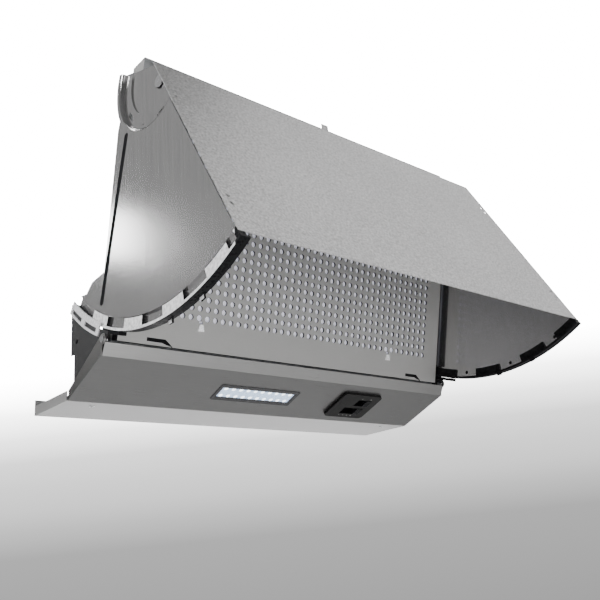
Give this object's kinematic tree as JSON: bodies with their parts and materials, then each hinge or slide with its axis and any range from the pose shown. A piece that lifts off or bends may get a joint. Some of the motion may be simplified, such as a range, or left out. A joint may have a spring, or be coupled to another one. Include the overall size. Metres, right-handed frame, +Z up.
{
  "type": "built-in range hood",
  "caption": "Built-in range hood with a tilting visor on arc guides, perforated filter tray, sloping lamp panel with slide controls, fan box and duct collar.",
  "frame": {"origin": "midway between the two wall hanging holes, on the rear face of the fan box", "axes": "+X to the right seen from the front, +Y back into the wall, +Z up"},
  "size_m": [0.598, 0.4406, 0.4308],
  "materials": {
    "satin_visor_steel": "satin silver-grey sheet with a very fine level grain",
    "brushed_side_steel": "brushed steel side sheet",
    "silver_paint": "smooth silver-grey paint",
    "grille_silver": "silver-grey paint on perforated sheet",
    "zinc_steel": "plain zinc coated sheet",
    "bright_screw": "bright plated steel",
    "catch_bright": "bright plated catch",
    "filter_aluminium": "aluminium mesh and castings",
    "black_gloss_plastic": "glossy black moulding",
    "black_matte_plastic": "dull black moulding",
    "charcoal_plastic": "charcoal grey moulding",
    "dark_grey_plastic": "dark grey moulding",
    "bright_guide_plastic": "pale glossy moulding",
    "lamp_diffuser": "cool white lamp diffuser",
    "board_white": "white circuit board",
    "driver_white": "off-white plastic case",
    "motor_iron": "motor stack and end covers"
  },
  "bodies": {
    "casing": {"base_strip": "silver_paint", "rear_rail": "zinc_steel", "rail_hangers": "zinc_steel", "strip_screws": "bright_screw", "front_rail": "zinc_steel", "lamp_hinge_pins": "bright_screw", "left_cheek": "charcoal_plastic", "right_cheek": "charcoal_plastic", "arc_guides": "bright_guide_plastic", "glide_blocks": "black_matte_plastic", "frame_left_side": "zinc_steel", "frame_right_side": "zinc_steel", "frame_left_back": "zinc_steel", "frame_right_back": "zinc_steel", "box_left_side": "zinc_steel", "box_right_side": "zinc_steel", "pivot_pins": "bright_screw", "pivot_brackets": "zinc_steel", "bracket_rivets": "bright_screw", "hinge_ears": "zinc_steel", "front_header": "zinc_steel", "frame_top": "zinc_steel", "frame_floor": "zinc_steel", "box_back": "zinc_steel", "box_floor": "zinc_steel", "box_top": "zinc_steel", "outlet_collar": "black_matte_plastic", "damper_pin": "bright_screw", "fan_scroll": "zinc_steel", "scroll_inlet_plate": "zinc_steel", "scroll_back_plate": "zinc_steel", "stand_offs": "zinc_steel", "fan_motor": "motor_iron", "terminal_box": "driver_white", "run_capacitor": "driver_white"},
    "visor": {"visor_front_panel": "satin_visor_steel", "visor_left_side": "brushed_side_steel", "visor_right_side": "brushed_side_steel", "left_arc_trim": "black_gloss_plastic", "right_arc_trim": "black_gloss_plastic", "slot_liners": "black_matte_plastic", "pivot_bushes": "black_matte_plastic"},
    "lamp_unit": {"lamp_panel": "silver_paint", "lamp_bezel": "black_matte_plastic", "lamp_lens": "lamp_diffuser", "led_board": "board_white", "led_driver": "driver_white", "control_box": "black_matte_plastic", "control_plate": "dark_grey_plastic"},
    "fan_control": {"fan_slider": "black_gloss_plastic"},
    "lamp_control": {"lamp_slider": "black_gloss_plastic"},
    "filter_tray": {"filter_grille": "grille_silver", "grease_filter": "filter_aluminium"},
    "left_filter_catch": {"left_catch": "catch_bright"},
    "right_filter_catch": {"right_catch": "catch_bright"},
    "wheel": {"fan_wheel": "dark_grey_plastic", "wheel_hub": "filter_aluminium", "fan_shaft": "bright_screw"},
    "rear_leaf": {"rear_damper": "dark_grey_plastic"},
    "front_leaf": {"front_damper": "dark_grey_plastic"}
  },
  "joints": [
    {"name": "visor_hinge", "type": "hinge", "parent": "casing", "child": "visor", "pos_m": [0, -0.297, 0.03], "axis": [1, 0, 0], "range_deg": [0, 27.7]},
    {"name": "lamp_panel_hinge", "type": "hinge", "parent": "casing", "child": "lamp_unit", "pos_m": [0, -0.1817, -0.24777], "axis": [1, 0, 0], "range_deg": [-50, 0]},
    {"name": "filter_tray_hinge", "type": "hinge", "parent": "casing", "child": "filter_tray", "pos_m": [0, -0.25302, 0.05798], "axis": [1, 0, 0], "range_deg": [-25, 0]},
    {"name": "fan_speed_slide", "type": "slide", "parent": "lamp_unit", "child": "fan_control", "axis": [1, 0, 0], "range_m": [-0.025, 0]},
    {"name": "lamp_switch_slide", "type": "slide", "parent": "lamp_unit", "child": "lamp_control", "axis": [1, 0, 0], "range_m": [-0.015, 0]},
    {"name": "left_catch_slide", "type": "slide", "parent": "filter_tray", "child": "left_filter_catch", "axis": [0, -0.247, 0.969], "range_m": [0, 0.006], "stiffness_N_per_m": 200, "springref_m": -0.002},
    {"name": "right_catch_slide", "type": "slide", "parent": "filter_tray", "child": "right_filter_catch", "axis": [0, -0.247, 0.969], "range_m": [0, 0.006], "stiffness_N_per_m": 200, "springref_m": -0.002},
    {"name": "fan_spin", "type": "hinge", "parent": "casing", "child": "wheel", "pos_m": [-0.055, -0.106, -0.095], "axis": [0, 1, 0], "continuous": true},
    {"name": "rear_leaf_hinge", "type": "hinge", "parent": "casing", "child": "rear_leaf", "pos_m": [0, -0.113, 0.106], "axis": [1, 0, 0], "range_deg": [0, 75]},
    {"name": "front_leaf_hinge", "type": "hinge", "parent": "casing", "child": "front_leaf", "pos_m": [0, -0.113, 0.106], "axis": [1, 0, 0], "range_deg": [-75, 0]}
  ],
  "couplings": [
    {"joint": "front_leaf_hinge", "follows": "rear_leaf_hinge", "ratio": -1}
  ]
}
